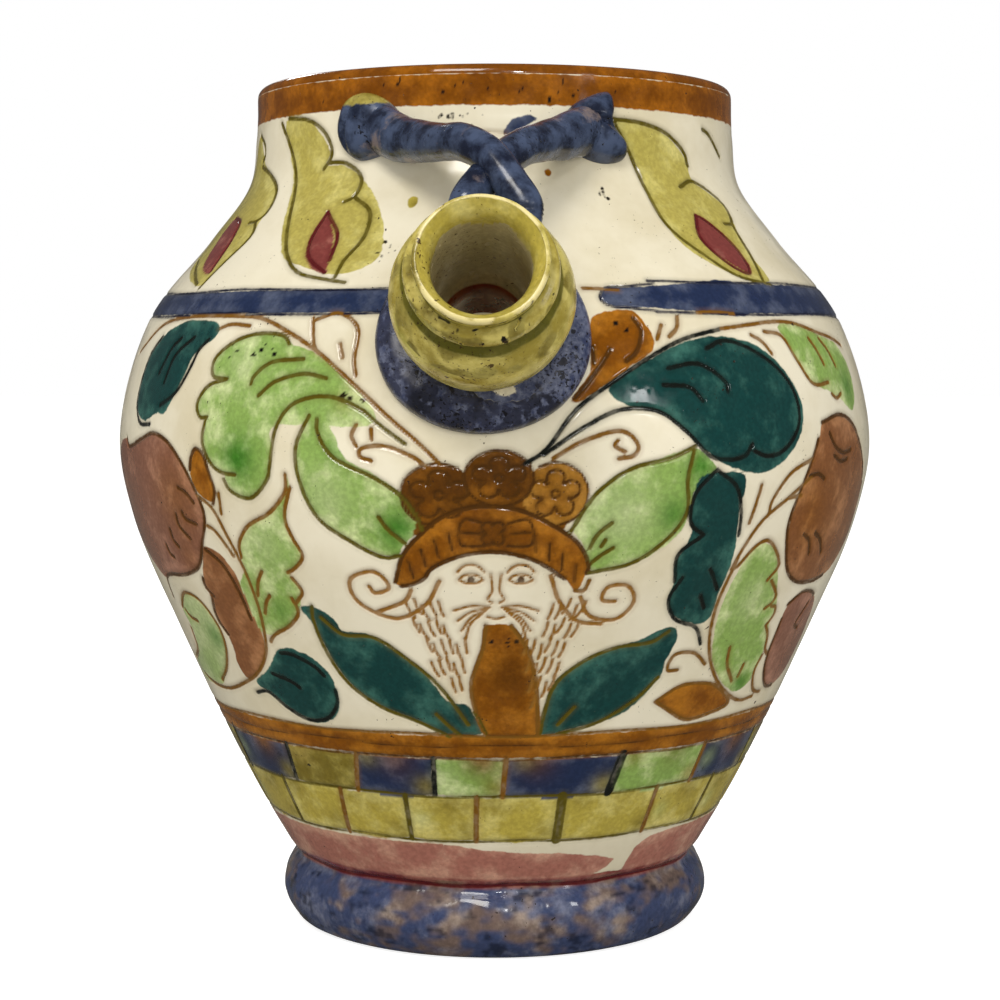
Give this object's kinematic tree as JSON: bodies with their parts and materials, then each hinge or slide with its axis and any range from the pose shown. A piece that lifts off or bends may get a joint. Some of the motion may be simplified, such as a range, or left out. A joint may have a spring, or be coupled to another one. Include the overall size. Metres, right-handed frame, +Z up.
{
  "type": "ewer",
  "caption": "Round-bellied earthenware ewer with a short turned spout held to the neck by crossed coils of clay, a rolled foot and a strap handle.",
  "frame": {"origin": "centre of the flat underside of the foot, where the ewer stands", "axes": "+Z up through the mouth, -Y towards the spout, +Y towards the handle"},
  "size_m": [0.199, 0.2679, 0.22],
  "materials": {
    "ewer": "glossy cream glaze with incised and painted ornament"
  },
  "bodies": {
    "root": {"ewer": "ewer"}
  },
  "joints": []
}
